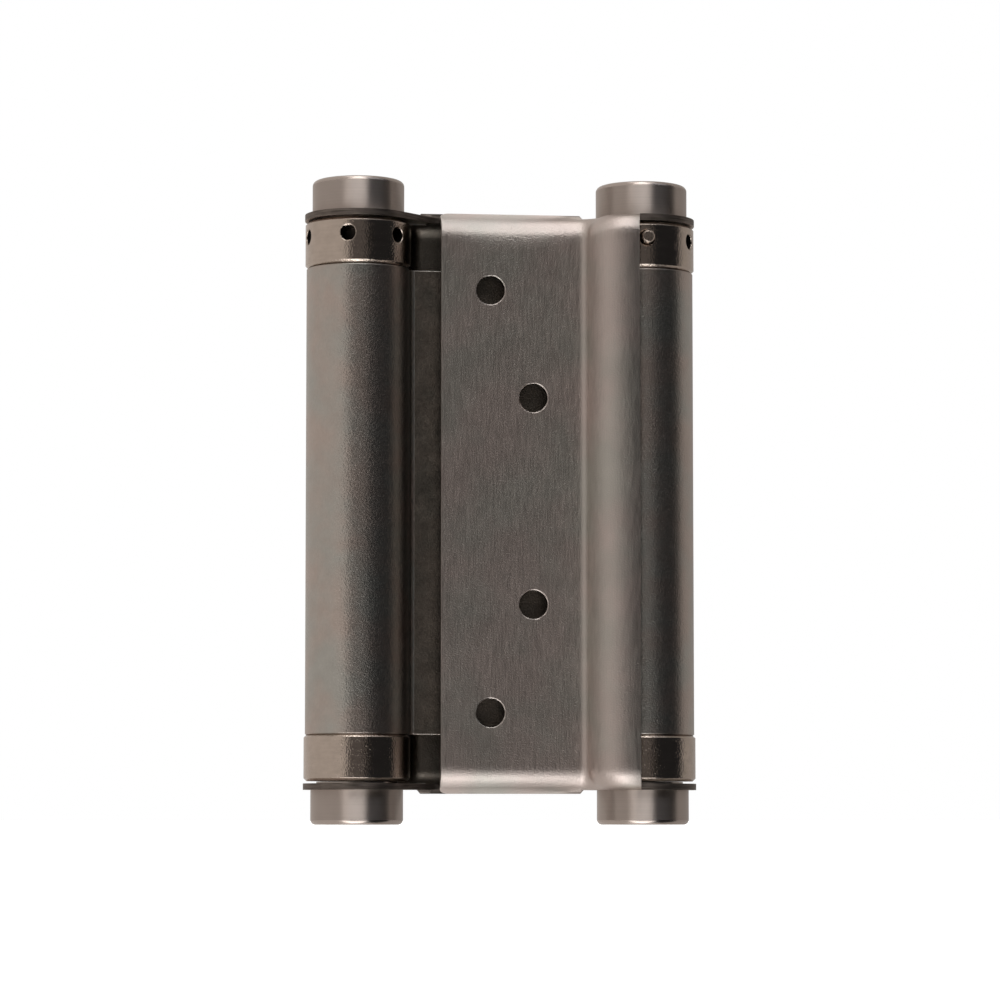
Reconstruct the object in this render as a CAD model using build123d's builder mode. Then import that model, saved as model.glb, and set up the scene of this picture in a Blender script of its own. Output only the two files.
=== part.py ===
from build123d import *
import os
from math import asin, cos, degrees, radians, sin, sqrt, tan

os.makedirs("parts", exist_ok=True)

# A double action spring hinge for a cafe door, in its closed pose.
# Seen from above, two spring barrels are joined by a web, and a leaf lies on each side of the web.
# X runs from the jamb barrel to the door barrel, Y to the back and Z up.
# The origin is midway between the barrels at half their height.
# Each leaf turns on the barrel at its own side, so the door swings both ways.

# Driving dimensions of the leaves, in millimetres and degrees
leaf_height = 100.0
leaf_sheet = 1.1
leaf_reach = 35.8
leaf_face_depth = 4.3
leaf_bend_radius = 3.5
leaf_crease_radius = 1.5
leaf_cut_angle = 10.5
leaf_corner_radius = 1.6
shoulder_radius = 6.7
shoulder_reach = 3.6
flange_bend = 62.0
flange_sink = 0.01
ear_step = 0.3
neck_angle = 45.0
neck_radius = 2.0

# Screw holes: one pair near the free edge of a leaf and one pair near its barrel
screw_hole_diameter = 5.0
screw_hole_rim = 0.15
screw_sink_diameter = 6.4
outer_pair_spacing = 73.5
outer_pair_reach = 27.25
inner_pair_spacing = 36.0
inner_pair_reach = 19.75

# Barrels and the web between them, rolled from one sheet
barrel_pitch = 50.0
barrel_diameter = 18.0
barrel_sheet = 1.2
barrel_chamfer = 0.15
web_root_radius = 1.0

# Collars, spindles, caps and washers
collar_height = 8.0
collar_step = 0.2
collar_chamfer = 0.5
collar_plug_length = 6.0
spindle_diameter = 6.0
spindle_chamfer = 0.4
cap_diameter = 16.0
cap_height = 6.0
cap_round = 0.9
cap_floor = 1.6
washer_diameter = 14.0
washer_thickness = 0.3

# Tommy holes round a tension collar, and the pin that stands in one of them against the leaf's edge
tommy_hole_diameter = 2.5
tommy_hole_rim = 0.25
tommy_hole_depth = 4.0
tommy_hole_drop = 2.8
tommy_hole_count = 6
pin_reach = 1.6
pin_chamfer = 0.3
jamb_pin_slack = 46.0

# Springs, wound from flat wire
spring_turns = 10
spring_wire_width = 2.2
spring_wire_height = 4.2
spring_tail_length = 2.6

# Clearances
leaf_gap = 0.8
wrap_clearance = 0.3
seam_gap = 0.3
running_gap = 0.1
bearing_clearance = 0.05
press_clearance = 0.01
plug_clearance = 0.15
spring_clearance = 0.5
tail_clearance = 0.2

# What follows from them
axis_x = barrel_pitch / 2
hinge_line = (axis_x, 0)
barrel_radius = barrel_diameter / 2
barrel_bore_radius = barrel_radius - barrel_sheet
collar_radius = barrel_radius + collar_step
ear_radius = barrel_radius + ear_step
spindle_radius = spindle_diameter / 2
bearing_radius = spindle_radius + bearing_clearance
ear_inside = leaf_height / 2 - leaf_sheet
collar_seat = ear_inside - washer_thickness - collar_height
barrel_top = collar_seat - running_gap

# The shoulder of a leaf is a round that crests to the inner side of the spindle and stops at the cut edge
bend_inside = leaf_bend_radius - leaf_sheet
free_edge_x = axis_x - leaf_reach
crest_x = axis_x - shoulder_reach
crease_x = crest_x - shoulder_radius


def shoulder_room(radius, drop):
    """Depth of the shoulder's axis at which its inside clears a round, this far below the ear."""
    rise = max(bend_inside - drop, 0)
    inside = shoulder_radius - leaf_bend_radius + sqrt(bend_inside**2 - rise**2)
    return radius * cos(radians(leaf_cut_angle)) - sqrt(
        inside**2 - (shoulder_reach - radius * sin(radians(leaf_cut_angle))) ** 2
    )


# It clears the barrel, and its bent ends clear the chamfered rims of the collars
shoulder_depth = max(
    shoulder_room(barrel_radius + wrap_clearance, bend_inside),
    shoulder_room(collar_radius - collar_chamfer + running_gap, washer_thickness),
    shoulder_room(collar_radius + running_gap, washer_thickness + collar_chamfer),
)

# A tension pin stands beside the cut edge of the leaf's shoulder
pin_radius = tommy_hole_diameter / 2 - bearing_clearance
pin_angle = 270 - leaf_cut_angle + degrees(asin((pin_radius + running_gap) / collar_radius))
tommy_level = collar_seat + collar_height - tommy_hole_drop

# A spring fills the room between the two plugs of its barrel
plug_top = collar_plug_length - barrel_top
plug_bottom = collar_seat - collar_plug_length
spring_room = plug_bottom - plug_top - 2 * running_gap
spring_pitch = (spring_room - spring_wire_height) / spring_turns
spring_start = plug_top + running_gap + spring_wire_height / 2
spring_radius = barrel_bore_radius - spring_clearance - spring_wire_width / 2

# The neck of an ear runs from the foot, on the inner edge of the leaf, to where it touches the round
neck_top = (axis_x - ear_radius * sin(radians(neck_angle)), ear_radius * cos(radians(neck_angle)))
neck_foot = (neck_top[0] - (neck_top[1] + leaf_gap / 2) / tan(radians(neck_angle)), -leaf_gap / 2)


def pressed_block(inset, overrun):
    """Block with the form of the leaf's front: flat, crease and shoulder, with bent top and bottom edges.

    It lies inside the outer skin by inset, and it runs past the leaf's open sides by overrun.
    """
    radius = shoulder_radius - inset
    depth = leaf_face_depth - inset
    height = leaf_height - 2 * inset
    start = 180 - degrees(asin((shoulder_depth - depth) / radius))
    back = overrun - leaf_gap / 2
    side = free_edge_x - overrun
    with BuildPart() as block:
        with BuildSketch(Plane.XY.offset(-height / 2)) as plan:
            with BuildLine():
                shoulder = CenterArc((crest_x, -shoulder_depth), radius, start, 360 - start)
                Polyline(shoulder @ 1, (crest_x + radius, back), (side, back), (side, -depth), shoulder @ 0)
            make_face()
            fillet(plan.vertices().sort_by_distance(shoulder @ 0)[0], leaf_crease_radius + inset)
        extrude(amount=height)
        rim = block.edges().filter_by(GeomType.CIRCLE)
        rim += block.edges().filter_by(Axis.X).sort_by(Axis.Y)[:2]
        fillet(rim, leaf_bend_radius - inset)
        edge = sprung_edge(inset, overrun / 2)
        add(edge)
        mirror(edge, about=Plane.XY)
    return block.part


def sprung_edge(inset, overrun):
    """Wedge on top of the flat, whose bend stops short of a right angle, so that its edge stands proud."""
    fold = leaf_bend_radius - inset
    foot_y = leaf_bend_radius - leaf_face_depth - fold * cos(radians(flange_bend))
    foot_z = leaf_height / 2 - leaf_bend_radius + fold * sin(radians(flange_bend))
    back = overrun - leaf_gap / 2
    rise = (back - foot_y) / tan(radians(flange_bend))
    with BuildPart() as wedge:
        with BuildSketch(Plane.YZ.offset(free_edge_x - overrun)):
            with BuildLine():
                Polyline(
                    (foot_y, foot_z - flange_sink),
                    (back, foot_z - flange_sink + rise),
                    (back, foot_z - fold),
                    (foot_y, foot_z - fold),
                    close=True,
                )
            make_face()
        extrude(amount=crease_x - inset - free_edge_x + overrun)
        chamfer(wedge.edges().group_by(Axis.X)[-1].sort_by(Axis.Z)[-1], leaf_crease_radius / 2)
    return wedge.part


# Plan of an ear: the round about the spindle and the neck that leads to it from the pressed block
cut_foot = (axis_x - leaf_gap / 2 * tan(radians(leaf_cut_angle)), -leaf_gap / 2)
with BuildSketch() as ear_plan:
    with BuildLine():
        Polyline(
            neck_top,
            neck_foot,
            (free_edge_x, -leaf_gap / 2),
            (axis_x, -leaf_face_depth),
            close=True,
        )
    make_face()
    fillet(ear_plan.vertices().sort_by_distance(neck_foot)[0], neck_radius)
    with Locations(hinge_line):
        Circle(ear_radius)

# Plan of what lies on the leaf's side of its cut edge, in front of the neck
with BuildSketch() as front_plan:
    with BuildLine():
        Polyline(
            cut_foot,
            (free_edge_x, -leaf_gap / 2),
            (free_edge_x, -barrel_diameter),
            (axis_x - barrel_diameter * tan(radians(leaf_cut_angle)), -barrel_diameter),
            close=True,
        )
    make_face()

# Plan of what is cut off the free corners of a leaf to round them
with BuildSketch() as corner_plan:
    with Locations((free_edge_x, -leaf_gap / 2)):
        Rectangle(2 * leaf_corner_radius, 2 * leaf_corner_radius)
    with Locations((free_edge_x + leaf_corner_radius, -leaf_gap / 2 - leaf_corner_radius)):
        Circle(leaf_corner_radius, mode=Mode.SUBTRACT)

# Leaf: a pressed flat whose top and bottom edges are bent back into ears, with a shoulder beside the barrel
inner_face = Plane(origin=(axis_x, leaf_sheet - leaf_face_depth, 0), x_dir=(-1, 0, 0), z_dir=(0, 1, 0))
outer_face = Plane(origin=(axis_x, -leaf_face_depth, 0), x_dir=(-1, 0, 0), z_dir=(0, -1, 0))
screw_rim_diameter = screw_hole_diameter + 2 * screw_hole_rim
with BuildPart() as leaf:
    add(pressed_block(0, leaf_sheet))
    add(pressed_block(leaf_sheet, 2 * leaf_sheet), mode=Mode.SUBTRACT)
    extrude(front_plan.sketch, amount=leaf_height, both=True, mode=Mode.INTERSECT)
    for level in (leaf_height / 2, leaf_sheet - leaf_height / 2):
        with BuildSketch(Plane.XY.offset(level)):
            add(ear_plan.sketch)
            add(front_plan.sketch, mode=Mode.SUBTRACT)
        extrude(amount=-leaf_sheet)
    extrude(corner_plan.sketch, amount=leaf_height, both=True, mode=Mode.SUBTRACT)
    with Locations(hinge_line):
        Hole(bearing_radius)
    for face, rim, angle in ((inner_face, screw_sink_diameter, 82), (outer_face, screw_rim_diameter, 90)):
        for reach, spacing in ((outer_pair_reach, outer_pair_spacing), (inner_pair_reach, inner_pair_spacing)):
            with Locations(face):
                with Locations((reach, 0)):
                    with GridLocations(1, spacing, 1, 2):
                        CounterSinkHole(screw_hole_diameter / 2, rim / 2, counter_sink_angle=angle)

# Half of the double barrel in plan: a tube rolled up to a seam, and half of the web that it grows from
roll_lift = barrel_sheet / 2 + web_root_radius
roll_angle = degrees(asin(roll_lift / (barrel_radius + web_root_radius)))
root_x = (barrel_radius + web_root_radius) * cos(radians(roll_angle)) - axis_x
seam_y = barrel_sheet / 2 + seam_gap
seam_inner_angle = degrees(asin(seam_y / barrel_bore_radius))
seam_outer_angle = degrees(asin(seam_y / barrel_radius))
with BuildSketch() as rolled_plan:
    with BuildLine():
        tube_axis = (-axis_x, 0)
        root_axis = (root_x, -roll_lift)
        bend = CenterArc(root_axis, web_root_radius + barrel_sheet, 90, 90 - roll_angle)
        bore = CenterArc(tube_axis, barrel_bore_radius, seam_inner_angle, 360 - roll_angle - seam_inner_angle)
        tube = CenterArc(tube_axis, barrel_radius, seam_outer_angle, 360 - roll_angle - seam_outer_angle)
        root = CenterArc(root_axis, web_root_radius, 90, 90 - roll_angle)
        Line(bore @ 0, tube @ 0)
        Polyline(root @ 0, (0, -barrel_sheet / 2), (0, barrel_sheet / 2), bend @ 0)
    make_face()

# Double barrel: the same half twice, turned about the middle of the web
with BuildPart() as double_barrel:
    with BuildSketch(Plane.XY.offset(-barrel_top)):
        add(rolled_plan.sketch)
        add(rolled_plan.sketch, rotation=180)
    extrude(amount=2 * barrel_top)
    levels = double_barrel.edges().group_by(Axis.Z)
    chamfer(levels[0] + levels[-1], barrel_chamfer)


def collar(level, up, plug_radius):
    """Collar seated at a level, with its flange on the up side and a slotted plug for the spring on the other."""
    seat = Plane(origin=(axis_x, 0, level), x_dir=(1, 0, 0), z_dir=(0, 0, up))
    with BuildPart() as ring:
        with BuildSketch(seat):
            Circle(collar_radius)
        extrude(amount=collar_height)
        levels = ring.edges().group_by(Axis.Z)
        chamfer(levels[0] + levels[-1], collar_chamfer)
        with BuildSketch(seat):
            Circle(plug_radius)
        extrude(amount=-collar_plug_length)
        with BuildSketch(seat.offset(-collar_plug_length)):
            Circle(bearing_radius)
        extrude(amount=collar_plug_length + collar_height, mode=Mode.SUBTRACT)
        with BuildSketch(seat.offset(-collar_plug_length)):
            with Locations((spring_radius, -spring_wire_width / 2)):
                Rectangle(2 * spring_wire_width, spring_wire_width + 2 * tail_clearance)
        extrude(amount=spring_tail_length + tail_clearance, mode=Mode.SUBTRACT)
    return ring.part


def tension_collar(first_hole):
    """Collar that turns on top of the barrel, with its ring of tommy holes from the first one's angle."""
    with BuildPart() as ring:
        add(collar(collar_seat, 1, barrel_bore_radius - plug_clearance))
        with Locations((axis_x, 0, tommy_level)):
            with PolarLocations(collar_radius - tommy_hole_depth, tommy_hole_count, first_hole):
                Cylinder(
                    tommy_hole_diameter / 2,
                    2 * tommy_hole_depth,
                    rotation=(0, 90, 0),
                    align=(Align.CENTER, Align.CENTER, Align.MIN),
                    mode=Mode.SUBTRACT,
                )
            with PolarLocations(collar_radius - tommy_hole_rim, tommy_hole_count, first_hole):
                Cone(
                    tommy_hole_diameter / 2,
                    tommy_hole_diameter / 2 + tommy_hole_rim,
                    tommy_hole_rim,
                    rotation=(0, 90, 0),
                    align=(Align.CENTER, Align.CENTER, Align.MIN),
                    mode=Mode.SUBTRACT,
                )
    return ring.part


def tension_pin(angle):
    """Short round pin that stands out of the tension collar's hole at this angle."""
    with BuildPart() as pin:
        with Locations((axis_x, 0, tommy_level)):
            with PolarLocations(collar_radius - tommy_hole_depth, 1, angle):
                Cylinder(
                    pin_radius,
                    tommy_hole_depth + pin_reach,
                    rotation=(0, 90, 0),
                    align=(Align.CENTER, Align.CENTER, Align.MIN),
                )
        chamfer(pin.edges().filter_by(GeomType.CIRCLE), pin_chamfer)
    return pin.part


# Spring: flat wire wound round the spindle, with an upright tail at each end
with BuildPart() as spring:
    with BuildLine() as coil_line:
        coil = Helix(spring_pitch, spring_pitch * spring_turns, spring_radius, center=(axis_x, 0, spring_start))
    with BuildSketch(Plane(origin=coil @ 0, x_dir=(1, 0, 0), z_dir=coil % 0)):
        Rectangle(spring_wire_width, spring_wire_height)
    sweep(path=coil_line.line, is_frenet=True)
    for end, up in ((0, -1), (1, 1)):
        with BuildSketch(Plane(origin=coil @ end, x_dir=(1, 0, 0), z_dir=(0, 0, up))):
            with Locations((0, -spring_wire_width / 2)):
                Rectangle(spring_wire_width, spring_wire_width)
        extrude(amount=spring_wire_height / 2 + running_gap + spring_tail_length)

# Spindle: a plain pin through both ears and the two collars
spindle_end = leaf_height / 2 + cap_height - cap_floor
with BuildPart() as spindle:
    with BuildSketch(Plane.XY.offset(-spindle_end)):
        with Locations(hinge_line):
            Circle(spindle_radius)
    extrude(amount=2 * spindle_end)
    chamfer(spindle.edges().filter_by(GeomType.CIRCLE), spindle_chamfer)


def cap(up):
    """Turned cap pressed on one end of the spindle, against the outside of the ear."""
    face = Plane(origin=(axis_x, 0, up * leaf_height / 2), x_dir=(1, 0, 0), z_dir=(0, 0, up))
    with BuildPart() as knob:
        with BuildSketch(face):
            Circle(cap_diameter / 2)
        extrude(amount=cap_height)
        fillet(knob.edges().filter_by(GeomType.CIRCLE).sort_by(Axis.Z)[-1 if up > 0 else 0], cap_round)
        with BuildSketch(face):
            Circle(spindle_radius + press_clearance)
        extrude(amount=cap_height - cap_floor, mode=Mode.SUBTRACT)
    return knob.part


def washer(level):
    """Thin washer between an ear and the collar inside it, from this level upwards."""
    with BuildPart() as ring:
        with BuildSketch(Plane.XY.offset(level)):
            with Locations(hinge_line):
                Circle(washer_diameter / 2)
                Circle(bearing_radius, mode=Mode.SUBTRACT)
        extrude(amount=washer_thickness)
    return ring.part


def write_piece(shape, label, turn=0):
    """Name a piece and write it, after half a turn about the origin where it belongs to the jamb side."""
    with BuildPart() as piece:
        add(shape, rotation=(0, 0, turn))
    piece.part.label = label
    export_step(piece.part, f"parts/{label}.step")


write_piece(double_barrel.part, "double_barrel")
for side, turn, slack in (("door", 0, 0), ("jamb", 180, jamb_pin_slack)):
    write_piece(leaf.part, f"{side}_leaf", turn)
    write_piece(spindle.part, f"{side}_spindle", turn)
    write_piece(cap(1), f"{side}_cap_top", turn)
    write_piece(cap(-1), f"{side}_cap_bottom", turn)
    write_piece(washer(ear_inside - washer_thickness), f"{side}_washer_top", turn)
    write_piece(washer(-ear_inside), f"{side}_washer_bottom", turn)
    write_piece(tension_collar(pin_angle + slack), f"{side}_tension_collar", turn)
    write_piece(tension_pin(pin_angle + slack), f"{side}_tension_pin", turn)
    write_piece(
        collar(-barrel_top, -1, barrel_bore_radius - press_clearance), f"{side}_anchor_collar", turn
    )
    write_piece(spring.part, f"{side}_spring", turn)
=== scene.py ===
import logging
import math
from dataclasses import dataclass
from enum import Enum

import bpy
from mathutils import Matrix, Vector


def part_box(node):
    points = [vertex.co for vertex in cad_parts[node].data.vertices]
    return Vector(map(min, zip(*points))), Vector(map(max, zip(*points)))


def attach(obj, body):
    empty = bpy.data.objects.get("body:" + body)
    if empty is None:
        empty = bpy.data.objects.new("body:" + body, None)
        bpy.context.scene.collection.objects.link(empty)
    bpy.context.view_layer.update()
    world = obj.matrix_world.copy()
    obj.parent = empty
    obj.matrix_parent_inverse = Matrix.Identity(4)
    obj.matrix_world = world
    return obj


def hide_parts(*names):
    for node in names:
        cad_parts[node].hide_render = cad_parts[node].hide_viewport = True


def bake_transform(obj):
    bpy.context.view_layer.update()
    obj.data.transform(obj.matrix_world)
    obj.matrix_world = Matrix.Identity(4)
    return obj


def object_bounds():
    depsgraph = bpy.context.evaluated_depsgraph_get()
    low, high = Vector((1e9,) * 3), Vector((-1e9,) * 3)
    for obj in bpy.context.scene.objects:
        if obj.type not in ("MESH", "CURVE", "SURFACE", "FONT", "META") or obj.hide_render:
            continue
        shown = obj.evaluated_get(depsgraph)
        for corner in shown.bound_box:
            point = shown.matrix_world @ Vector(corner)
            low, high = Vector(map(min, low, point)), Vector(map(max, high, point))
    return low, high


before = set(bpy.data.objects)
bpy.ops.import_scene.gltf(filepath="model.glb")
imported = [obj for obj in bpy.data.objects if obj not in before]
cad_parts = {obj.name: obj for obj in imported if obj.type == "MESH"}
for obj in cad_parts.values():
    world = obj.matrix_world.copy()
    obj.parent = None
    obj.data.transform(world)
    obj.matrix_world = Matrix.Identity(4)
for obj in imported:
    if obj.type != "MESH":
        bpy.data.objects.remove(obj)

# Dresses a double action cafe hinge. Smooth copies stand in for the leaves, the rolled sheet, the collars,
# caps, pins and springs, and the rest are dressed as they are. Lengths are in metres where nothing says
# millimetres.
CAD_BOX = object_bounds()
MM = 0.001
WHITE = (1.0, 1.0, 1.0, 1.0)

# Vertices that are nearer than this are joined, and facets that turn by less than this are one face
WELD = 0.0005 * MM
FLAT_ANGLE = math.radians(0.1)

# Edges that turn by more than this stay sharp
SHARP_ANGLE = math.radians(32)

# A facet belongs to a round wall if it looks away from the axis to within this angle, lies this near to the
# wall's reach, and has at least this share of its normal in the level plane
ROUND_ANGLE = math.radians(20)
ROUND_DEPTH = 1.0 * MM
LEAST_SLOPE = 0.15

# How far the normals of a straight wall and of a chamfer at 45 degrees rise
TRUE_SLOPES = (0.0, math.sqrt(0.5), -math.sqrt(0.5))

# Noise values that are spread over a swing, and those over which a stain comes in
NOISE_RANGE = (0.3, 0.7)
STAIN_RANGE = (0.4, 0.62)

log = logging.getLogger("cafe_hinge")


@dataclass(frozen=True)
class Round:
    """An upright round wall.

    Attributes:
        axis_x: Where its axis stands.
        reach: How far from the axis it lies.
        chamfered: Whether its ends are chamfered, and not rounded.
    """

    axis_x: float
    reach: float
    chamfered: bool = True


class Side(Enum):
    """The two halves of the hinge, each round its own spindle."""

    DOOR = "door"
    JAMB = "jamb"

    @property
    def axis_x(self) -> float:
        """Where this half's spindle stands."""
        low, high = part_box(f"{self.value}_spindle")
        return (low[0] + high[0]) / 2

    def round_of(self, node: str, chamfered: bool = True) -> Round:
        """Find the wall of a round piece about this half's spindle.

        Args:
            node: The piece's CAD node.
            chamfered: Whether the wall's ends are chamfered, and not rounded.

        Returns:
            The wall.
        """
        low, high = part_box(node)
        return Round(self.axis_x, (high[0] - low[0]) / 2, chamfered)


def linear(colour: str) -> tuple[float, float, float, float]:
    """Turn an sRGB hex colour into the linear one that a shader takes.

    Args:
        colour: The colour, as in "#a89e96".

    Returns:
        Red, green, blue and an alpha of 1.
    """
    parts = [int(colour[i : i + 2], 16) / 255 for i in (1, 3, 5)]
    red, green, blue = (c / 12.92 if c <= 0.04045 else ((c + 0.055) / 1.055) ** 2.4 for c in parts)
    return red, green, blue, 1.0


def add_node(
    tree: bpy.types.NodeTree, kind: str, inputs: dict | None = None, **settings: object
) -> bpy.types.Node:
    """Add a shader node with its settings, its values and its links.

    Args:
        tree: The node tree that gets the node.
        kind: The node's type, as in "ShaderNodeMath".
        inputs: Values, or sockets to link from, by the input's name or number.
        settings: Attributes of the node, such as operation="MULTIPLY".

    Returns:
        The new node.
    """
    node = tree.nodes.new(kind)
    for name, value in settings.items():
        setattr(node, name, value)
    for key, value in (inputs or {}).items():
        if isinstance(value, bpy.types.NodeSocket):
            tree.links.new(value, node.inputs[key])
        else:
            node.inputs[key].default_value = value
    return node


def empty_material(name: str) -> tuple[bpy.types.Material, bpy.types.NodeTree]:
    """Make a material with no nodes in it yet.

    Args:
        name: What the real material is called.

    Returns:
        The material and its node tree.
    """
    material = bpy.data.materials.new(name)
    material.use_nodes = True
    material.node_tree.nodes.clear()
    return material, material.node_tree


@dataclass(frozen=True)
class Finish:
    """A metal and how its surface was made.

    Strokes are a noise that is stretched along one axis. They move the colour, the roughness and the bump
    together, as fine scratches do. Clouds and stains move the colour only, and pits the bump only.

    Attributes:
        name: What the real metal is called.
        colour: Its colour, in sRGB.
        roughness: How far it blurs what it mirrors.
        grain: Size of a stroke along X, Y and Z, in millimetres.
        colour_swing: How far the strokes move the colour's brightness.
        roughness_swing: How far they move the roughness.
        relief: How deep they are, in millimetres.
        anisotropy: How much more the surface blurs along one direction.
        turn: That direction, as a share of a full turn.
        cloud: Size of a cloud, in millimetres.
        cloud_swing: How far the clouds move the colour's brightness.
        edge: How far the shading of an edge is rounded, in millimetres.
        pit: Size of a pit, in millimetres.
        pit_relief: How deep the pits are, in millimetres.
        stain: The colour of the stains, in sRGB, or nothing for none.
        stain_size: Size of a stain, in millimetres.
    """

    name: str
    colour: str
    roughness: float
    grain: tuple[float, float, float]
    colour_swing: float
    roughness_swing: float
    relief: float
    anisotropy: float = 0.0
    turn: float = 0.0
    cloud: float = 6.0
    cloud_swing: float = 0.0
    edge: float = 0.12
    pit: float = 0.35
    pit_relief: float = 0.0
    stain: str = ""
    stain_size: float = 12.0

    def material(self) -> bpy.types.Material:
        """Build the material.

        Returns:
            The material, ready to go on a piece.
        """
        material, tree = empty_material(self.name)
        place = add_node(tree, "ShaderNodeTexCoord")
        strokes = self.noise(tree, place, self.grain, detail=2.0)
        clouds = self.noise(tree, place, (self.cloud,) * 3, detail=3.0)
        stains = self.noise(tree, place, (self.stain_size,) * 3, detail=4.0)
        pits = self.noise(tree, place, (self.pit,) * 3, detail=1.0)

        worn = self.spread(tree, clouds, self.cloud_swing)
        shade = self.spread(tree, strokes, self.colour_swing)
        swing = add_node(tree, "ShaderNodeMath", {0: worn, 1: shade}, operation="ADD")
        level = add_node(tree, "ShaderNodeMath", {0: swing.outputs[0], 1: 1.0}, operation="ADD")
        patches = add_node(
            tree,
            "ShaderNodeMapRange",
            {"Value": stains, "From Min": STAIN_RANGE[0], "From Max": STAIN_RANGE[1]},
        )
        # Sockets 6 and 7 of a Mix node are its two colours, and its output 2 is the mixed one
        clean, stain = linear(self.colour), linear(self.stain or self.colour)
        stained = add_node(
            tree, "ShaderNodeMix", {"Factor": patches.outputs["Result"], 6: clean, 7: stain}, data_type="RGBA"
        )
        colour = add_node(
            tree, "ShaderNodeHueSaturation", {"Color": stained.outputs[2], "Value": level.outputs[0]}
        )

        eased = add_node(tree, "ShaderNodeBevel", {"Radius": self.edge * MM}, samples=6)
        pitted = self.bump(tree, pits, self.pit_relief, eased)
        scratched = self.bump(tree, strokes, self.relief, pitted)
        shader = add_node(
            tree,
            "ShaderNodeBsdfPrincipled",
            {
                "Base Color": colour.outputs["Color"],
                "Metallic": 1.0,
                "Roughness": self.spread(tree, strokes, self.roughness_swing, self.roughness),
                "Anisotropic": self.anisotropy,
                "Anisotropic Rotation": self.turn,
                "Normal": scratched.outputs["Normal"],
            },
        )
        add_node(tree, "ShaderNodeOutputMaterial", {"Surface": shader.outputs["BSDF"]})
        return material

    def made(self) -> bpy.types.Material:
        """Find the material, or build it for the first piece that has this finish.

        Returns:
            The material, shared by all pieces with this finish.
        """
        return bpy.data.materials.get(self.name) or self.material()

    @staticmethod
    def noise(
        tree: bpy.types.NodeTree, place: bpy.types.Node, size: tuple[float, float, float], detail: float
    ) -> bpy.types.NodeSocket:
        """Add a noise with its own size along each axis.

        Args:
            tree: The node tree.
            place: The Texture Coordinate node.
            size: Size of the noise along X, Y and Z, in millimetres.
            detail: How many finer layers it has.

        Returns:
            The noise's value, about 0.5 on average.
        """
        stretch = add_node(
            tree,
            "ShaderNodeMapping",
            {"Vector": place.outputs["Object"], "Scale": [1 / (s * MM) for s in size]},
        )
        field = add_node(
            tree, "ShaderNodeTexNoise", {"Vector": stretch.outputs["Vector"], "Scale": 1.0, "Detail": detail}
        )
        return field.outputs["Fac"]

    @staticmethod
    def spread(
        tree: bpy.types.NodeTree, value: bpy.types.NodeSocket, swing: float, middle: float = 0.0
    ) -> bpy.types.NodeSocket:
        """Spread a noise over a swing to each side of a middle value.

        Args:
            tree: The node tree.
            value: The noise's value.
            swing: How far the result goes to each side.
            middle: The middle value.

        Returns:
            The result.
        """
        ends = {"To Min": middle - swing, "To Max": middle + swing}
        node = add_node(
            tree,
            "ShaderNodeMapRange",
            {"Value": value, "From Min": NOISE_RANGE[0], "From Max": NOISE_RANGE[1], **ends},
        )
        return node.outputs["Result"]

    @staticmethod
    def bump(
        tree: bpy.types.NodeTree, height: bpy.types.NodeSocket, relief: float, below: bpy.types.Node
    ) -> bpy.types.Node:
        """Add a bump on top of another node's normal.

        Args:
            tree: The node tree.
            height: The height, from 0 to 1.
            relief: What a height of 1 stands for, in millimetres.
            below: The node whose normal it starts from.

        Returns:
            The Bump node.
        """
        return add_node(
            tree,
            "ShaderNodeBump",
            {"Height": height, "Distance": relief * MM, "Strength": 1.0, "Normal": below.outputs["Normal"]},
        )


# The brush leaves upright strokes on the sheet, which blur sideways what it mirrors. Its pits are drawn about
# three times coarser and deeper than real ones, so that the sheet's tooth shows at arm's length.
BRUSHED_LEAF = Finish(
    "brushed stainless steel sheet",
    "#cbbfb9",
    roughness=0.42,
    grain=(0.17, 0.17, 3.0),
    colour_swing=0.07,
    roughness_swing=0.07,
    relief=0.02,
    anisotropy=0.75,
    cloud=9.0,
    cloud_swing=0.05,
    pit=0.25,
    pit_relief=0.045,
    stain="#c1bdb6",
)

# The same sheet on the web, on the leaves' inner faces and inside the ears, darker as painted shade of the
# narrow slots between the leaves and the barrels; cloudy, and with the same tooth, drawn coarse
PAINTED_SHADE_SHEET = Finish(
    "stainless steel sheet with painted shade",
    "#6b635b",
    roughness=0.42,
    grain=(0.4, 0.4, 0.4),
    colour_swing=0.08,
    roughness_swing=0.06,
    relief=0.01,
    cloud=3.0,
    cloud_swing=0.15,
    pit=0.3,
    pit_relief=0.05,
    stain="#605b54",
    stain_size=5.0,
)

# Rims that a press has sheared: dull, and darkened with thin dark lines along the sheet as painted shade of
# the narrow gaps between the cap and the collar
SHADED_SHEAR_RIM = Finish(
    "sheared stainless steel edge with painted shade",
    "#6f6761",
    roughness=0.5,
    grain=(4.0, 4.0, 0.2),
    colour_swing=0.4,
    roughness_swing=0.05,
    relief=0.03,
    cloud=2.0,
    cloud_swing=0.15,
    edge=0.06,
)

# The barrels were tumbled to a satin with hardly a grain. Its speckle is drawn about three times coarser and
# deeper than real, so that it breaks up the broad bands that the barrels mirror as the photo shows.
ROLLED_BARREL = Finish(
    "satin rolled stainless steel",
    "#b5a9a1",
    roughness=0.32,
    grain=(0.3, 0.3, 0.6),
    colour_swing=0.04,
    roughness_swing=0.03,
    relief=0.008,
    cloud=2.2,
    cloud_swing=0.04,
    edge=0.2,
    pit=0.3,
    pit_relief=0.055,
    stain="#acaaa4",
    stain_size=9.0,
)

# Bright nickel over a pitted steel collar, with edges that polishing has rounded until they catch a bright
# line. The pits are drawn coarse too, so that a sharp border in what the collar mirrors crumbles.
BRIGHT_COLLAR = Finish(
    "polished nickel plate",
    "#b8aba0",
    roughness=0.12,
    grain=(2.5, 2.5, 0.5),
    colour_swing=0.04,
    roughness_swing=0.03,
    relief=0.004,
    cloud=1.6,
    cloud_swing=0.05,
    edge=0.18,
    pit=0.28,
    pit_relief=0.055,
)

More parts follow.
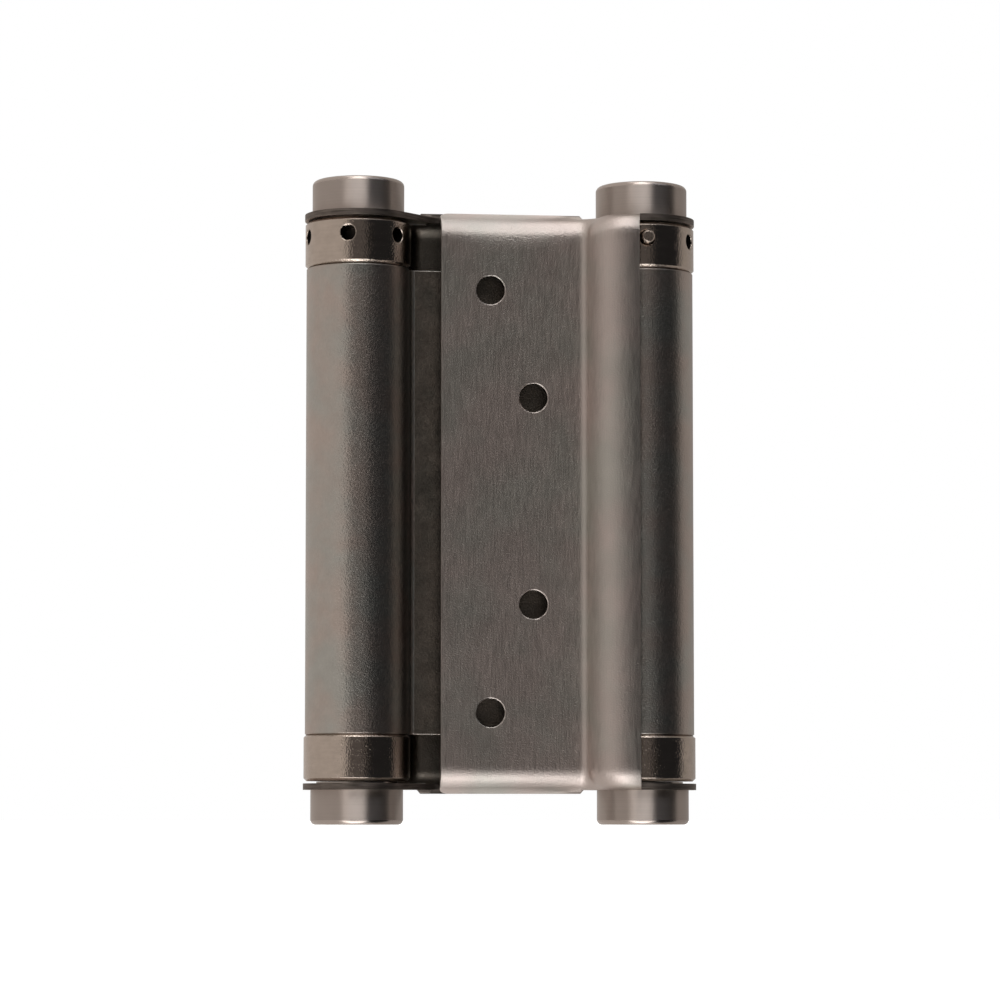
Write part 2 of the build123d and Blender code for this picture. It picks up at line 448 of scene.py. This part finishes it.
# A lathe leaves fine level rings on the caps, which spread up and down what they mirror
TURNED_CAP = Finish(
    "turned satin steel",
    "#b8ada6",
    roughness=0.43,
    grain=(30.0, 30.0, 0.16),
    colour_swing=0.05,
    roughness_swing=0.03,
    relief=0.0005,
    anisotropy=1.0,
    turn=0.25,
    cloud=4.0,
    cloud_swing=0.03,
    pit=0.3,
    pit_relief=0.004,
)

# The same cap where its rounded edge was polished over the rings, so that it draws a thin bright arc
POLISHED_ROUND = Finish(
    "polished turned steel",
    "#b9aea7",
    roughness=0.26,
    grain=(30.0, 30.0, 0.16),
    colour_swing=0.04,
    roughness_swing=0.03,
    relief=0.0005,
    anisotropy=0.5,
    turn=0.25,
    cloud=4.0,
    cloud_swing=0.03,
)

# Drilled steel in the tommy holes and the collars' bores, darkened as painted shade so that the holes read as
# black
PAINTED_SHADE_BORE = Finish(
    "drilled steel with painted shade",
    "#3c3835",
    roughness=0.45,
    grain=(1.2, 1.2, 0.3),
    colour_swing=0.1,
    roughness_swing=0.05,
    relief=0.002,
)

# Rod with the long faint lines of the die that it was drawn through
DRAWN_ROD = Finish(
    "drawn bright steel rod",
    "#aaa39d",
    roughness=0.22,
    grain=(0.3, 0.3, 6.0),
    colour_swing=0.05,
    roughness_swing=0.03,
    relief=0.002,
)

# Spring wire, dark from tempering and thinly oiled
SPRING_WIRE = Finish(
    "oil tempered spring steel",
    "#6e6a66",
    roughness=0.36,
    grain=(0.4, 0.4, 0.4),
    colour_swing=0.08,
    roughness_swing=0.05,
    relief=0.003,
)


def put_on(node: str, finish: Finish) -> None:
    """Put a finish on a CAD node that is shown as it is.

    Args:
        node: The node's name.
        finish: The finish that it gets.
    """
    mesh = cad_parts[node].data
    mesh.materials.clear()
    mesh.materials.append(finish.made())
    log.info("%s: %s", node, finish.name)


def copy_node(node: str) -> bpy.types.Object:
    """Copy a CAD node and join its loose facets into clean faces.

    Args:
        node: The node's name.

    Returns:
        The copy, which is the active object.
    """
    piece = bpy.data.objects.new(f"{node}_smooth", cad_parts[node].data.copy())
    bpy.context.scene.collection.objects.link(piece)
    bpy.ops.object.select_all(action="DESELECT")
    piece.select_set(True)
    bpy.context.view_layer.objects.active = piece
    bpy.ops.object.mode_set(mode="EDIT")
    bpy.ops.mesh.select_all(action="SELECT")
    bpy.ops.mesh.remove_doubles(threshold=WELD)
    bpy.ops.mesh.dissolve_limited(angle_limit=FLAT_ANGLE)
    bpy.ops.object.mode_set(mode="OBJECT")
    return piece


def round_off(piece: bpy.types.Object, wall: Round) -> None:
    """Give the facets of a round wall the normals of the true round.

    Args:
        piece: The copy, in object mode.
        wall: The wall.
    """
    mesh = piece.data
    normals = [corner.vector.copy() for corner in mesh.corner_normals]
    for face in mesh.polygons:
        facing = Vector((face.normal.x, face.normal.y, 0.0))
        middle = Vector((face.center.x - wall.axis_x, face.center.y, 0.0))
        if facing.length < LEAST_SLOPE or abs(middle.length - wall.reach) > ROUND_DEPTH:
            continue
        if facing.normalized().dot(middle.normalized()) < math.cos(ROUND_ANGLE):
            continue
        for corner in face.loop_indices:
            place = mesh.vertices[mesh.loops[corner].vertex_index].co
            outward = Vector((place.x - wall.axis_x, place.y, 0.0)).normalized()
            slope = max(-1.0, min(normals[corner].z, 1.0))
            if wall.chamfered:
                slope = min(TRUE_SLOPES, key=lambda true: abs(face.normal.z - true))
            normals[corner] = outward * math.sqrt(1 - slope**2) + Vector((0, 0, slope))
    mesh.normals_split_custom_set(normals)


def finish_copy(piece: bpy.types.Object, node: str, finish: Finish, walls: list[Round]) -> None:
    """Shade a copy smooth, dress it and let it stand for its CAD node.

    Args:
        piece: The copy, which is the active object.
        node: The node's name.
        finish: The finish that it gets.
        walls: Its upright round walls.
    """
    bpy.ops.object.shade_smooth_by_angle(angle=SHARP_ANGLE)
    weigh = piece.modifiers.new("weigh", "WEIGHTED_NORMAL")
    weigh.keep_sharp = True
    bpy.ops.object.modifier_apply(modifier=weigh.name)
    for wall in walls:
        round_off(piece, wall)
    piece.data.materials.clear()
    piece.data.materials.append(finish.made())
    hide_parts(node)
    log.info("%s: %s", piece.name, finish.name)


def smooth_copy(node: str, body: str, finish: Finish, walls: list[Round]) -> bpy.types.Object:
    """Stand a smooth copy in for a CAD node.

    Args:
        node: The node's name.
        body: The body that the piece moves with.
        finish: The finish that it gets.
        walls: Its upright round walls.

    Returns:
        The piece, in the node's place.
    """
    piece = copy_node(node)
    finish_copy(piece, node, finish, walls)
    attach(piece, body)
    return piece


@dataclass
class DoubleBarrel:
    """The two barrels and the web between them, rolled from one sheet.

    Attributes:
        node: The CAD node.
        body: The body that it moves with.
        web_reach: How far the web reaches from the middle, less than its joins with the barrels.
        web_break: How far its long edges are broken.
        web_facing: The least share along Y in the normals of its two sides.
    """

    node: str = "double_barrel"
    body: str = "barrels"
    web_reach: float = 11.5 * MM
    web_break: float = 0.4 * MM
    web_facing: float = 0.9

    def build(self) -> None:
        """Smooth and dress the rolled sheet, with the web darkened as painted shade."""
        low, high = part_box(self.node)
        radius = (high[1] - low[1]) / 2
        walls = [Round(side.axis_x, radius) for side in Side]
        piece = copy_node(self.node)
        self.ease_web(piece, high[2])
        finish_copy(piece, self.node, ROLLED_BARREL, walls)
        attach(piece, self.body)
        # The web gets the darker sheet, painted shade of the deep slot between the barrels and the leaves
        piece.data.materials.append(PAINTED_SHADE_SHEET.made())
        for face in piece.data.polygons:
            if abs(face.center.x) < self.web_reach and abs(face.normal.y) > self.web_facing:
                face.material_index = 1

    def ease_web(self, piece: bpy.types.Object, half_height: float) -> None:
        """Break the long edges of the web, which catch the light above and below the leaves.

        Args:
            piece: The rolled sheet's copy, in object mode.
            half_height: How far the sheet reaches above the middle.
        """
        mesh = piece.data
        for part in (mesh.vertices, mesh.edges, mesh.polygons):
            part.foreach_set("select", [False] * len(part))
        for edge in mesh.edges:
            ends = [mesh.vertices[i].co for i in edge.vertices]
            at_end = all(abs(abs(p.z) - half_height) < WELD for p in ends)
            near = all(abs(p.x) < self.web_reach * 2 for p in ends)
            if at_end and near and abs(ends[0].x - ends[1].x) > self.web_reach:
                edge.select = True
        bpy.ops.object.mode_set(mode="EDIT")
        bpy.ops.mesh.select_mode(type="EDGE")
        bpy.ops.mesh.bevel(offset=self.web_break, segments=2, affect="EDGES")
        bpy.ops.mesh.select_mode(type="VERT")
        bpy.ops.object.mode_set(mode="OBJECT")


@dataclass
class Leaf:
    """One leaf, pressed from brushed sheet, whose bends start softly above and below the flat.

    The press has drawn the flat into the upper bend from further off in the middle than at its sides, and
    into the lower one nearly evenly. Heights count from the middle of the leaf, and places across count from
    the hinge's middle towards the leaf's own barrel.

    Attributes:
        side: The half that the leaf belongs to.
        bend_start: Height where the CAD's bends start.
        ease_top: Height where the upper one starts to draw, in the middle of the flat.
        ease_bottom: The same for the lower one, downwards.
        ease_sides: The same for both, at the flat's sides.
        ease_bow: How fast it draws, in millimetres a square millimetre.
        flat_near: Where the flat starts, at its free edge.
        flat_far: Where it ends, at the crease.
        ease_rows: Cuts across the flat below each bend.
        ease_columns: Strips that the flat is cut into.
        back_edge: Depth up to which the sheet keeps its place.
        full_depth: Depth from which it is drawn in full.
        ear_start: Height where the ears start.
        ear_inside: An ear's face whose normal rises by less than this looks back at the other ear.
        sheet_inside: A face whose normal goes outwards by less than this is on the sheet's inner side.
        rim_rise: A face on an ear whose normal rises or falls by less than this is on its rim.
    """

    side: Side
    bend_start: float = 46.5 * MM
    ease_top: float = 43.7 * MM
    ease_bottom: float = 45.8 * MM
    ease_sides: float = 45.6 * MM
    ease_bow: float = 0.0306
    flat_near: float = -10.8 * MM
    flat_far: float = 14.7 * MM
    ease_rows: int = 6
    ease_columns: int = 10
    back_edge: float = 0.6 * MM
    full_depth: float = 2.4 * MM
    ear_start: float = 49.0 * MM
    ear_inside: float = -0.5
    sheet_inside: float = -0.3
    rim_rise: float = 0.3

    @property
    def outward(self) -> int:
        """The way along Y that the brushed face looks."""
        return -1 if self.side is Side.DOOR else 1

    def build(self) -> None:
        """Smooth and dress the leaf."""
        name = f"{self.side.value}_leaf"
        piece = copy_node(name)
        self.cut_grid(piece)
        self.ease_bends(piece)
        finish_copy(piece, name, BRUSHED_LEAF, [])
        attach(piece, name)
        self.dress_inside_and_shade(piece)

    def cut_grid(self, piece: bpy.types.Object) -> None:
        """Cut the flat into rows below each bend and columns across, so that it can curve there.

        Args:
            piece: The leaf's copy, in object mode.
        """
        bpy.ops.object.mode_set(mode="EDIT")
        step = (self.bend_start - self.ease_top) / self.ease_rows
        cuts = [
            (Vector((0, 0, end * (self.ease_top + row * step))), Vector((0, 0, 1)))
            for end in (-1, 1)
            for row in range(self.ease_rows)
        ]
        width = self.flat_far - self.flat_near
        for column in range(1, self.ease_columns):
            across = (self.flat_near + width * column / self.ease_columns) * -self.outward
            cuts.append((Vector((across, 0, 0)), Vector((1, 0, 0))))
        for place, way in cuts:
            bpy.ops.mesh.select_all(action="SELECT")
            bpy.ops.mesh.bisect(plane_co=place, plane_no=way)
        bpy.ops.object.mode_set(mode="OBJECT")

    def ease_bends(self, piece: bpy.types.Object) -> None:
        """Draw the sheet back a little towards each bend, along a parabola that carries on through the bend.

        Args:
            piece: The leaf's copy, with its grid cut.
        """
        middle = (self.flat_near + self.flat_far) / 2
        half = (self.flat_far - self.flat_near) / 2
        for vertex in piece.data.vertices:
            across = min(abs(vertex.co.x * -self.outward - middle) / half, 1.0)
            ease = self.ease_top if vertex.co.z > 0 else self.ease_bottom
            ease += (self.ease_sides - ease) * across**2
            start = self.bend_start - ease
            run = abs(vertex.co.z) - ease
            depth = vertex.co.y * self.outward
            if run <= 0 or depth <= self.back_edge:
                continue
            pull = (run / start) ** 2 if run < start else 2 * run / start - 1
            share = min((depth - self.back_edge) / (self.full_depth - self.back_edge), 1.0)
            vertex.co.y -= self.outward * self.ease_bow * start**2 / MM * min(pull, 2.0) * share

    def dress_inside_and_shade(self, piece: bpy.types.Object) -> None:
        """Put painted shade on the faces that look inwards, and the sheared edge, partly shaded, on the ears'
        rims.

        Args:
            piece: The leaf's piece, already dressed outside.
        """
        piece.data.materials.append(PAINTED_SHADE_SHEET.made())
        piece.data.materials.append(SHADED_SHEAR_RIM.made())
        # Inward faces and the ears' inner faces get painted shade, and the ear rims a darker sheared edge,
        # partly painted shade
        for face in piece.data.polygons:
            if abs(face.center.z) > self.ear_start:
                rise = face.normal.z * math.copysign(1, face.center.z)
                if rise < self.ear_inside:
                    face.material_index = 1
                elif abs(rise) < self.rim_rise:
                    face.material_index = 2
            elif face.normal.y * self.outward < self.sheet_inside:
                face.material_index = 1


@dataclass
class Pivot:
    """The spindle of one side, with a cap on each end and a washer inside each ear.

    Attributes:
        side: The half that the pivot belongs to.
        round_rise: How far the normals of a cap's rounded edge rise or fall, at the least and at the most.
    """

    side: Side
    round_rise: tuple[float, float] = (0.2, 0.97)

    def build(self) -> None:
        """Dress the spindle and the washers, and smooth and dress the caps."""
        side = self.side.value
        put_on(f"{side}_spindle", DRAWN_ROD)
        for end in ("top", "bottom"):
            put_on(f"{side}_washer_{end}", DRAWN_ROD)
            node = f"{side}_cap_{end}"
            wall = self.side.round_of(node, chamfered=False)
            cap = smooth_copy(node, f"{side}_leaf", TURNED_CAP, [wall])
            cap.data.materials.append(POLISHED_ROUND.made())
            for face in cap.data.polygons:
                if self.round_rise[0] < abs(face.normal.z) < self.round_rise[1]:
                    face.material_index = 1


@dataclass
class Tensioner:
    """The collars of one side, the pin that holds the upper one, and the spring between them.

    Attributes:
        side: The half that the collars belong to.
        bore_shade_depth: How deep below a collar's wall the faces start that get painted shade.
        end_rise: The least rise or fall in the normals of a collar's ends.
        tail: Height of the spring's upright tails. Not used.
    """

    side: Side
    bore_shade_depth: float = 0.35 * MM
    end_rise: float = 0.9
    tail: float = 2.8 * MM

    def build(self) -> None:
        """Smooth and dress the collars, the pin and the spring."""
        side = self.side.value
        self.couple_spring()
        smooth_copy(f"{side}_tension_pin", f"{side}_leaf", BRIGHT_COLLAR, [])
        for name, body in (("tension_collar", f"{side}_leaf"), ("anchor_collar", "barrels")):
            node = f"{side}_{name}"
            wall = self.side.round_of(node)
            collar = smooth_copy(node, body, BRIGHT_COLLAR, [wall])
            self.paint_bore_shade(collar, wall)

    def couple_spring(self) -> None:
        """Smooth and dress the spring, and bake its placement into its mesh."""
        node = f"{self.side.value}_spring"
        spring = copy_node(node)
        finish_copy(spring, node, SPRING_WIRE, [])
        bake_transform(spring)

    def paint_bore_shade(self, collar: bpy.types.Object, wall: Round) -> None:
        """Paint shade on the tommy holes and all else inside the collar's wall, as dark drilled steel.

        Args:
            collar: The collar's piece.
            wall: The collar's wall.
        """
        # Faces inside the collar's wall, the tommy holes among them, get a dark finish as painted shade
        collar.data.materials.append(PAINTED_SHADE_BORE.made())
        for face in collar.data.polygons:
            reach = math.hypot(face.center.x - wall.axis_x, face.center.y)
            if reach < wall.reach - self.bore_shade_depth and abs(face.normal.z) < self.end_rise:
                face.material_index = 1


@dataclass(frozen=True)
class Panel:
    """A lit stretch of the tent, between two bearings and two heights above the horizon, in degrees.

    A bearing counts from the front towards the door's side.

    Attributes:
        left: The bearing where the panel starts.
        right: The bearing where it ends.
        low: The height where it starts.
        high: The height where it ends.
        strength: How much light it gives.
        blur: How wide it fades out at its edges.
        colour: The light's colour, in sRGB.
    """

    left: float
    right: float
    low: float
    high: float
    strength: float
    blur: float
    colour: str

    def glow(
        self, tree: bpy.types.NodeTree, bearing: bpy.types.NodeSocket, rise: bpy.types.NodeSocket
    ) -> bpy.types.NodeSocket:
        """Work out what the panel gives along a ray.

        Args:
            tree: The world's node tree.
            bearing: The ray's bearing, in radians.
            rise: The ray's height above the horizon, in radians.

        Returns:
            The panel's strength, faded at its edges.
        """
        share: bpy.types.NodeSocket | float = self.strength
        for value, edge, limit, starts in (
            (bearing, self.left, 180, True),
            (bearing, self.right, 180, False),
            (rise, self.low, 90, True),
            (rise, self.high, 90, False),
        ):
            if abs(edge) == limit:
                continue
            fade = add_node(
                tree,
                "ShaderNodeMapRange",
                {
                    "Value": value,
                    "From Min": math.radians(edge - self.blur / 2),
                    "From Max": math.radians(edge + self.blur / 2),
                    "To Min": 0.0 if starts else 1.0,
                    "To Max": 1.0 if starts else 0.0,
                },
                interpolation_type="SMOOTHSTEP",
            )
            share = add_node(
                tree, "ShaderNodeMath", {0: fade.outputs["Result"], 1: share}, operation="MULTIPLY"
            ).outputs[0]
        return share


# What the metal mirrors: white cloth at the left and behind, a lamp in front above, and white paper below
TENT = (
    Panel(-180, -27, -90, 90, 0.62, 5, "#fff7f0"),
    Panel(86, 180, -90, 90, 0.42, 8, "#fff7f0"),
    Panel(-31, 20, 34, 90, 2.6, 4, "#fffefd"),
    Panel(-26, 14, -30, 30, 0.11, 8, "#fff4ec"),
    Panel(20, 75, 34, 90, 0.6, 10, "#f6f9ff"),
    Panel(-180, 180, 74, 90, 1.4, 10, "#fffefd"),
    Panel(-46, 23, -38, -16, 1.1, 4, "#fffefd"),
    Panel(-46, 23, -90, -38, 2.9, 6, "#fffefd"),
    Panel(-180, 180, -90, -70, 0.8, 10, "#fffefd"),
)


@dataclass
class Studio:
    """Light all round, a white floor and a camera where the photograph was taken from.

    Attributes:
        azimuth: The camera's way round the object, in degrees.
        elevation: Its height above the horizon, in degrees.
        distance: How far it stands from the origin.
        focal_pixels: Its focal length, in pixels of the photograph.
        centre_x: Where the origin shows in the photograph, in pixels from the left.
        centre_y: The same, in pixels from the top.
        image_side: The photograph's width and height, in pixels.
        sensor: The camera's sensor, in millimetres.
        clip: The nearest and the furthest that the camera sees.
        floor_radius: How far the floor reaches.
        floor_colour: The paper's colour, in sRGB.
        paper_glow: How much the paper shines for the camera, on top of the light that falls on it.
        dark_colour: The colour of what is left dark in the tent, in sRGB.
        dark_level: How much light comes from there.
    """

    azimuth: float = -7.16
    elevation: float = -4.65
    distance: float = 0.6819
    focal_pixels: float = 3908.5
    centre_x: float = 500.4
    centre_y: float = 502.65
    image_side: float = 1000.0
    sensor: float = 36.0
    clip: tuple[float, float] = (0.01, 50.0)
    floor_radius: float = 4.0
    floor_colour: str = "#f2f2f2"
    paper_glow: float = 0.8
    dark_colour: str = "#f6f9ff"
    dark_level: float = 0.025

    def camera(self) -> None:
        """Place the camera."""
        data = bpy.data.cameras.new("camera")
        data.sensor_width = self.sensor
        data.lens = self.sensor * self.focal_pixels / self.image_side
        data.shift_x = (self.image_side / 2 - self.centre_x) / self.image_side
        data.shift_y = (self.centre_y - self.image_side / 2) / self.image_side
        data.clip_start, data.clip_end = self.clip
        camera = bpy.data.objects.new("camera", data)
        bpy.context.scene.collection.objects.link(camera)
        turn, lift = math.radians(self.azimuth), math.radians(self.elevation)
        back = Vector((math.sin(turn) * math.cos(lift), -math.cos(turn) * math.cos(lift), math.sin(lift)))
        camera.location = back * self.distance
        camera.rotation_mode = "QUATERNION"
        camera.rotation_quaternion = (-back).to_track_quat("-Z", "Y")
        bpy.context.scene.camera = camera

    def floor(self) -> None:
        """Lay the floor under the caps."""
        bpy.ops.mesh.primitive_circle_add(
            vertices=96, radius=self.floor_radius, fill_type="NGON", location=(0, 0, CAD_BOX[0].z)
        )
        floor = bpy.context.object
        floor.name = "studio_floor"
        bpy.ops.object.transform_apply(location=True, rotation=True, scale=True)
        material, tree = empty_material("white paper floor")
        paper = add_node(tree, "ShaderNodeBsdfDiffuse", {"Color": linear(self.floor_colour)})
        path = add_node(tree, "ShaderNodeLightPath")
        seen = path.outputs["Is Camera Ray"]
        glow = add_node(tree, "ShaderNodeMath", {0: seen, 1: self.paper_glow}, operation="MULTIPLY")
        white = add_node(tree, "ShaderNodeEmission", {"Color": WHITE, "Strength": glow.outputs[0]})
        lit = add_node(tree, "ShaderNodeAddShader", {0: paper.outputs[0], 1: white.outputs[0]})
        add_node(tree, "ShaderNodeOutputMaterial", {"Surface": lit.outputs[0]})
        floor.data.materials.append(material)
        floor.visible_glossy = False

    def light(self) -> None:
        """Surround the object with the tent: its lit panels, and what is left dark between them.

        The camera itself sees plain white behind the object.
        """
        world = bpy.data.worlds.new("light tent")
        bpy.context.scene.world = world
        world.use_nodes = True
        tree = world.node_tree
        tree.nodes.clear()
        ray = add_node(tree, "ShaderNodeTexCoord")
        axes = add_node(tree, "ShaderNodeSeparateXYZ", {0: ray.outputs["Generated"]})
        front = add_node(tree, "ShaderNodeMath", {0: axes.outputs["Y"], 1: -1.0}, operation="MULTIPLY")
        bearing = add_node(
            tree, "ShaderNodeMath", {0: axes.outputs["X"], 1: front.outputs[0]}, operation="ARCTAN2"
        )
        rise = add_node(tree, "ShaderNodeMath", {0: axes.outputs["Z"]}, operation="ARCSINE")
        tent = add_node(
            tree, "ShaderNodeBackground", {"Color": linear(self.dark_colour), "Strength": self.dark_level}
        )
        for panel in TENT:
            glow = panel.glow(tree, bearing.outputs[0], rise.outputs[0])
            lit = add_node(tree, "ShaderNodeBackground", {"Color": linear(panel.colour), "Strength": glow})
            tent = add_node(tree, "ShaderNodeAddShader", {0: tent.outputs[0], 1: lit.outputs[0]})
        white = add_node(tree, "ShaderNodeBackground", {"Color": WHITE, "Strength": 1.0})
        path = add_node(tree, "ShaderNodeLightPath")
        seen = add_node(
            tree,
            "ShaderNodeMath",
            {0: path.outputs["Is Camera Ray"], 1: path.outputs["Is Transmission Ray"]},
            operation="MAXIMUM",
        )
        mix = add_node(
            tree, "ShaderNodeMixShader", {0: seen.outputs[0], 1: tent.outputs[0], 2: white.outputs[0]}
        )
        add_node(tree, "ShaderNodeOutputWorld", {"Surface": mix.outputs[0]})


def main() -> None:
    """Dress the pieces, then set up the studio."""
    logging.basicConfig(level=logging.INFO, format="%(name)s: %(message)s")
    bpy.ops.object.select_all(action="DESELECT")
    DoubleBarrel().build()
    for side in Side:
        for part in (Leaf(side), Pivot(side), Tensioner(side)):
            part.build()
    studio = Studio()
    studio.camera()
    studio.floor()
    studio.light()
    bpy.context.scene.view_settings.view_transform = "Standard"


if __name__ == "__main__":
    main()
